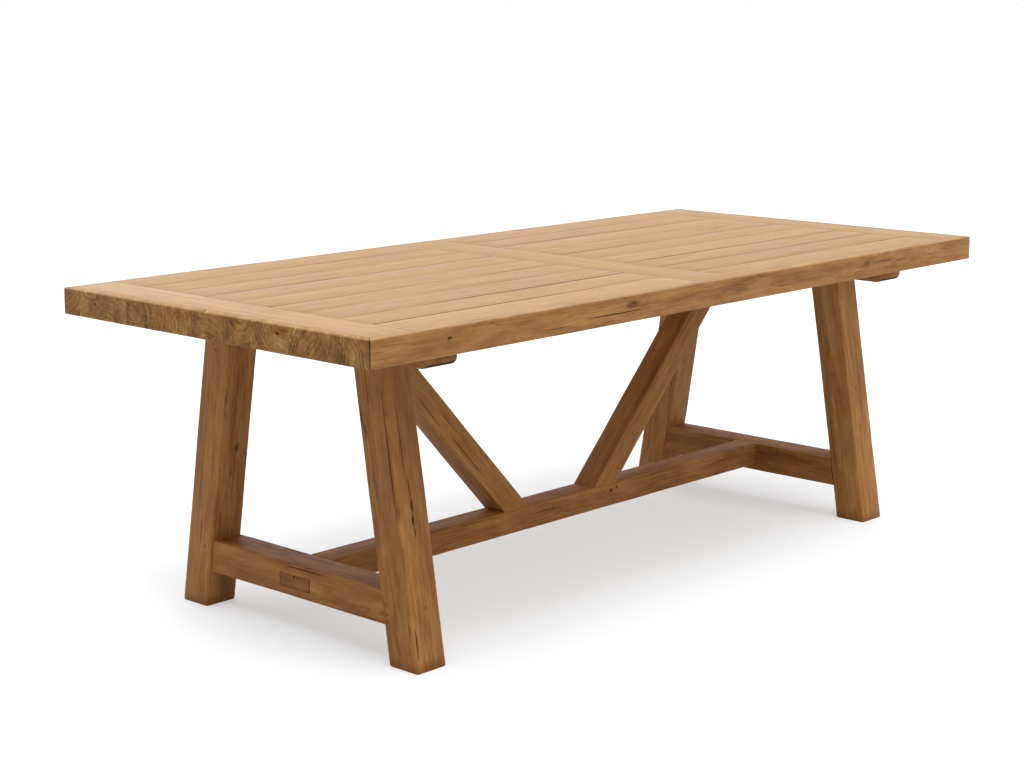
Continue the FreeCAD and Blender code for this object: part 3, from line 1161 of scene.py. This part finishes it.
# legs, modelled at the right back and copied to the other corners
legs = {
    "middle": 0.830,
    "width": 0.085,
    "top": 0.650,
    "footOuter": 0.391,
    "splay": 9.2,
    "run": 0.0861,  # depth measured level
    "round": 0.0052,
    "footFlat": 0.0009,
    "cuts": 22,
    "wave": 0.0016,
    "waveSize": 0.12,
    "heart": (0.04, 0.12),
    "spare": 0.05,  # hidden past each end
}
splay = math.radians(legs["splay"])
half = legs["width"] / 2
lean = legs["top"] * math.tan(splay)

pattern = addBlock(
    "legPattern",
    [legs["middle"] - half, legs["footOuter"] - legs["run"], 0],
    [legs["middle"] + half, legs["footOuter"], legs["top"]],
)
pick(pattern, "VERT", lambda vert: vert.co.z > legs["top"] / 2)
bpy.ops.transform.translate(value=(0, -lean, 0))
done()
slant = Vector((0, -math.sin(splay), math.cos(splay)))
easeEdges(pattern, lambda edge: runsAlong(edge, slant) or edgeMiddle(edge).z < touch, legs["round"], 4)
cutAcross(pattern, slant, legs["cuts"])

legMarks = {  # side, place up the leg, place across, length, width, depth
    "legFrontLeft": [
        ("-z", 0.054, -0.0045, 0.040, 0.0028, 0.005),
        ("-z", 0.014, -0.0020, 0.028, 0.0052, 0.006),
        ("-z", -0.017, -0.0035, 0.022, 0.0066, 0.006),
        ("-z", -0.043, -0.0010, 0.022, 0.0044, 0.005),
        ("-z", 0.150, -0.012, 0.150, 0.0022, 0.006),
        ("-z", -0.205, 0.004, 0.014, 0.0090, 0.003),
        ("-z", -0.275, -0.034, 0.070, 0.0056, 0.005),
        ("-y", 0.130, -0.035, 0.340, 0.0032, 0.006),
        ("-y", 0.265, 0.008, 0.110, 0.0022, 0.005),
        ("-y", -0.190, 0.030, 0.010, 0.0060, 0.003),
        ("-y", -0.212, 0.030, 0.009, 0.0055, 0.003),
        ("-y", -0.228, 0.031, 0.008, 0.0050, 0.003),
        ("-y", -0.245, -0.033, 0.040, 0.0042, 0.004),
    ],
    "legFrontRight": [
        ("-y", 0.000, 0.004, 0.030, 0.0024, 0.003),
        ("-z", 0.020, -0.010, 0.010, 0.0070, 0.003),
        ("-z", 0.110, 0.010, 0.090, 0.0016, 0.004),
    ],
    "legBackLeft": [
        ("-z", 0.060, 0.006, 0.009, 0.0080, 0.004),
        ("-z", -0.020, 0.003, 0.130, 0.0018, 0.005),
        ("-z", 0.200, -0.006, 0.180, 0.0020, 0.005),
        ("-y", 0.287, 0.000, 0.008, 0.0060, 0.003),
        ("-y", -0.180, -0.019, 0.009, 0.0070, 0.003),
    ],
    "legBackRight": [("-y", 0.020, -0.034, 0.300, 0.0030, 0.006)],
}
legKnotsAndShade = {  # place in the timber, length, width, strength
    "legFrontLeft": [
        # not a knot: a broad darker patch over the upper front face, painted shade under the top's overhang
        ((0.130, 0.004, -0.0425), 0.420, 0.110, 0.30),
        ((0.002, -0.003, -0.0425), 0.130, 0.010, 0.9),
    ],
    "legFrontRight": [((0.059, -0.0425, 0.000), 0.036, 0.026, 0.35)],
    "legBackLeft": [((0.060, 0.006, -0.0425), 0.032, 0.025, 0.85)],
}
for side, xSide in sides.items():
    for face, ySide in fronts.items():
        name = "leg" + face.capitalize() + side.capitalize()
        leg = copyPiece(pattern, name)
        mirrorPiece(leg, xSide, ySide)
        weather(leg, legs["wave"], legs["waveSize"])
        pick(leg, "VERT", lambda vert: vert.co.z < legs["footFlat"])  # the feet stand flat on the floor
        bpy.ops.transform.resize(value=(1, 1, 0), center_override=(0, 0, 0))
        done()
        y = ySide * (legs["footOuter"] - legs["run"] / 2 - lean / 2)
        timber = makeTimber(
            name,
            (xSide * legs["middle"], y, legs["top"] / 2),
            (0, -ySide * math.sin(splay), math.cos(splay)),
            axisX,
            (legs["top"] / 2 + legs["spare"], half, half),
            *legs["heart"],
        )
        timber["knots"] = legKnotsAndShade.get(name, [])
        marks = legMarks[name] + drawChecks(name, timber, ["+y", "+z"], 5, (0.05, 0.18))
        finishTimber(leg, timber, marks, frameTeak, "leg_" + face + "_" + side)
bpy.data.objects.remove(pattern)
print("legs made")


# cross rails between the legs, with a plug let into each
rails = {
    "inner": 0.7875,
    "outer": 0.8675,
    "under": 0.086,
    "top": 0.161,
    "round": 0.0034,
    "cuts": 18,
    "wave": 0.0014,
    "waveSize": 0.11,
    "spare": 0.03,
}
plugs = {
    "length": 0.100,
    "height": 0.032,
    "depth": 0.012,
    "level": 0.120,
    "gap": 0.0005,
    "short": 0.0034,  # shrunk away from its front end
    "sink": 0.0004,
    "cutterReach": 0.004,
    "ease": 0.0008,
    "faceReach": 0.002,
    "cuts": 5,
    "wave": 0.0004,
    "waveSize": 0.03,
}


def legInner(z):
    return legs["footOuter"] - legs["run"] - z * math.tan(splay)


for side, xSide in sides.items():
    name = "crossRail" + side.capitalize()
    outward, inward = ("-y", "+y") if xSide < 0 else ("+y", "-y")
    x0, x1 = sorted([xSide * rails["inner"], xSide * rails["outer"]])
    lowReach, highReach = legInner(rails["under"]), legInner(rails["top"])
    box = [x0, -lowReach, rails["under"]], [x1, lowReach, rails["top"]]
    rail = addBlock(name, *box)
    pick(rail, "VERT", lambda vert: vert.co.z > rails["top"] - touch)
    bpy.ops.transform.resize(value=(1, highReach / lowReach, 1), center_override=(0, 0, 0))
    done()
    easeEdges(rail, lambda edge: runsAlong(edge, axisY), rails["round"], 3)
    cutAcross(rail, axisY, rails["cuts"])
    weather(rail, rails["wave"], rails["waveSize"])

    middle = (xSide * (rails["outer"] - plugs["depth"] / 2), 0, plugs["level"])
    plugHalf = (plugs["depth"] / 2, plugs["length"] / 2, plugs["height"] / 2)
    low = [a - b for a, b in zip(middle, plugHalf)]
    high = [a + b for a, b in zip(middle, plugHalf)]
    reach = plugs["cutterReach"]
    cutWith(rail, addBlock("plugRecess", [low[0] - reach, *low[1:]], [high[0] + reach, *high[1:]]))
    timber = timberIn(name, *box, axisY, axisX, spare=rails["spare"])
    marks = [(outward, -0.035, -0.0295, 0.130, 0.0026, 0.005)]
    marks += drawChecks(name, timber, [inward, "-z"], 3, (0.04, 0.10))
    finishTimber(rail, timber, marks, frameTeak, "cross_rail_" + side)

    name = "railPlug" + side.capitalize()
    gap, sink = plugs["gap"], xSide * plugs["sink"]
    plug = addBlock(
        name,
        [low[0] - sink, low[1] + plugs["short"], low[2] + gap],
        [high[0] - sink, high[1] - gap, high[2] - gap],
    )
    cutAcross(plug, axisY, plugs["cuts"])
    face = rails["outer"] - plugs["faceReach"]
    easeEdges(plug, lambda edge: edgeMiddle(edge).x * xSide > face and isSharp(edge), plugs["ease"], 2)
    weather(plug, plugs["wave"], plugs["waveSize"])
    timber = timberIn(name, low, high, axisY, axisX)
    timber["joints"] = (0, 0, 1)
    timber["knots"] = [((0.036, -xSide * plugHalf[0], 0.004), 0.030, 0.022, 0.4)]
    dent = (outward, 0.003, -0.011, 0.007, 0.007, 0.004)
    finishTimber(plug, timber, [dent], plugTeak, "rail_plug_" + side)
print("cross rails made")


# stretcher
stretcher = {
    "halfLength": 0.7875,
    "halfWidth": 0.035,
    "under": 0.103,
    "top": 0.161,
    "round": 0.0034,
    "cuts": 44,
    "wave": 0.0014,
    "waveSize": 0.12,
    "spare": 0.03,
    "nutPlace": 0.7455,
    "nutPocket": 0.0168,
    "nutDepth": 0.030,
}
reach, across = stretcher["halfLength"], stretcher["halfWidth"]
box = [-reach, -across, stretcher["under"]], [reach, across, stretcher["top"]]
beam = addBlock("stretcherBeam", *box)
easeEdges(beam, lambda edge: runsAlong(edge, axisX), stretcher["round"], 3)
cutAcross(beam, axisX, stretcher["cuts"])
weather(beam, stretcher["wave"], stretcher["waveSize"])
for xSide in sides.values():
    place = (xSide * stretcher["nutPlace"], 0, stretcher["under"])
    drill(beam, place, stretcher["nutPocket"], stretcher["nutDepth"])
timber = timberIn("stretcherBeam", *box, axisX, axisY, spare=stretcher["spare"])
timber["knots"] = [
    ((0.166, -across, 0.010), 0.018, 0.014, 0.9),
    ((0.188, -across, 0.016), 0.015, 0.011, 0.8),
]
beamMarks = [
    ("-y", 0.166, 0.010, 0.007, 0.006, 0.003),
    ("-y", 0.188, 0.016, 0.006, 0.005, 0.003),
    ("-y", 0.340, 0.0235, 0.220, 0.0022, 0.004),
    ("-y", -0.330, 0.0235, 0.180, 0.0020, 0.004),
    ("-y", 0.420, 0.002, 0.140, 0.0016, 0.004),
]
beamMarks += drawChecks("stretcherBeam", timber, ["+z", "+y"], 4, (0.05, 0.20), checks["fineWidth"])
finishTimber(beam, timber, beamMarks, frameTeak, "stretcher")
print("stretcher made")


# braces, from the stretcher up to the top
braces = {
    "foot": (0.122, 0.2074),
    "head": (0.6236, 0.7090),
    "low": 0.161,
    "high": 0.690,
    "shift": -0.022,  # middle of the pair, off the table's middle
    "halfWidth": 0.035,
    "depth": 0.062,
    "round": 0.0034,
    "cuts": 22,
    "wave": 0.0014,
    "waveSize": 0.12,
    "spare": 0.06,
    "checkWidth": (0.0008, 0.0018),
}
braceMarks = {  # side, place up the brace, place across, length, width, depth
    "left": [
        ("-y", -0.130, 0.014, 0.180, 0.0024, 0.005),
        ("-y", 0.040, 0.019, 0.110, 0.0020, 0.005),
        ("-y", -0.020, -0.004, 0.090, 0.0016, 0.004),
    ],
    "right": [("-y", -0.080, -0.016, 0.110, 0.0016, 0.004)],
}
foot, head, low, high = braces["foot"], braces["head"], braces["low"], braces["high"]
run, half = head[0] - foot[0], braces["halfWidth"]
angle = math.atan2(high - low, run)
brace = addBlock("bracePattern", [foot[0], -half, low], [foot[1], half, high])
pick(brace, "VERT", lambda vert: vert.co.z > high - touch)
bpy.ops.transform.translate(value=(run, 0, 0))
done()
rise = Vector((math.cos(angle), 0, math.sin(angle)))
easeEdges(brace, lambda edge: runsAlong(edge, rise), braces["round"], 3)
cutAcross(brace, rise, braces["cuts"])
for side, xSide in sides.items():
    name = "brace" + side.capitalize()
    piece = copyPiece(brace, name)
    mirrorPiece(piece, xSide, 1)
    movePiece(piece, (braces["shift"], 0, 0))
    weather(piece, braces["wave"], braces["waveSize"])
    timber = makeTimber(
        name,
        (xSide * (foot[0] + head[1]) / 2 + braces["shift"], 0, (low + high) / 2),
        (xSide * math.cos(angle), 0, math.sin(angle)),
        axisY,
        (math.hypot(run, high - low) / 2 + braces["spare"], half, braces["depth"] / 2),
    )
    drawn = drawChecks(name, timber, ["+y", "+z", "-z"], 5, (0.05, 0.16), braces["checkWidth"])
    finishTimber(piece, timber, braceMarks[side] + drawn, frameTeak, "brace_" + side)
bpy.data.objects.remove(brace)
print("braces made")


# floor, world and lamps
studio = {
    "floorSize": 160,
    "floorColour": (0.600, 0.626, 0.649),
    "floorLift": 0.450,
    "ambient": 0.195,
    "lamps": {  # where the light comes from, how wide it is in degrees, and how strong
        "overhead": ((0.0, 0.0, 1.0), 80, 2.43),
        "leftKey": ((-0.265, -0.265, 0.927), 20, 0.53),
        "frontKey": ((0.0, -0.766, 0.643), 45, 0.58),
        "frontFill": ((0.0, -0.970, 0.242), 80, 0.24),
        "rightFill": ((0.686, 0.686, 0.242), 80, 0.34),
        "backFill": ((0.0, 0.970, 0.242), 80, 0.68),
    },
}


def seenDirectly(tree):
    # 1 for what the camera sees, straight or in gloss or glass
    path = tree.nodes.new("ShaderNodeLightPath").outputs
    seen = maths(tree, "MAXIMUM", path["Is Camera Ray"], path["Is Glossy Ray"])
    return maths(tree, "MAXIMUM", seen, path["Is Transmission Ray"])


deselectAll()
bpy.ops.mesh.primitive_plane_add(size=studio["floorSize"], location=(0, 0, 0))
floor = rename(bpy.context.object, "studioFloor")
paper = bpy.data.materials.new("studioPaper")
paper.use_nodes = True
tree = paper.node_tree
tree.nodes.clear()
matt = tree.nodes.new("ShaderNodeBsdfDiffuse")
matt.inputs["Color"].default_value = (*studio["floorColour"], 1)
lift = tree.nodes.new("ShaderNodeEmission")
wire(tree, maths(tree, "MULTIPLY", seenDirectly(tree), studio["floorLift"]), lift.inputs["Strength"])
total = tree.nodes.new("ShaderNodeAddShader")
wire(tree, matt.outputs[0], total.inputs[0])
wire(tree, lift.outputs[0], total.inputs[1])
wire(tree, total.outputs[0], tree.nodes.new("ShaderNodeOutputMaterial").inputs["Surface"])
floor.data.materials.append(paper)

world = bpy.data.worlds.new("studioWorld")
world.use_nodes = True
scene.world = world
tree = world.node_tree
tree.nodes.clear()
sky = tree.nodes.new("ShaderNodeBackground")
sky.inputs["Color"].default_value = (1, 1, 1, 1)
level = maths(tree, "MULTIPLY_ADD", seenDirectly(tree), 1 - studio["ambient"], studio["ambient"])
wire(tree, level, sky.inputs["Strength"])
wire(tree, sky.outputs[0], tree.nodes.new("ShaderNodeOutputWorld").inputs["Surface"])

for name, (source, spread, strength) in studio["lamps"].items():
    deselectAll()
    bpy.ops.object.light_add(type="SUN", location=Vector(source) * 4)
    lamp = rename(bpy.context.object, name)
    lamp.data.energy = strength
    lamp.data.angle = math.radians(spread)
    lamp.rotation_euler = (-Vector(source)).to_track_quat("-Z", "Y").to_euler()
print("studio lit")
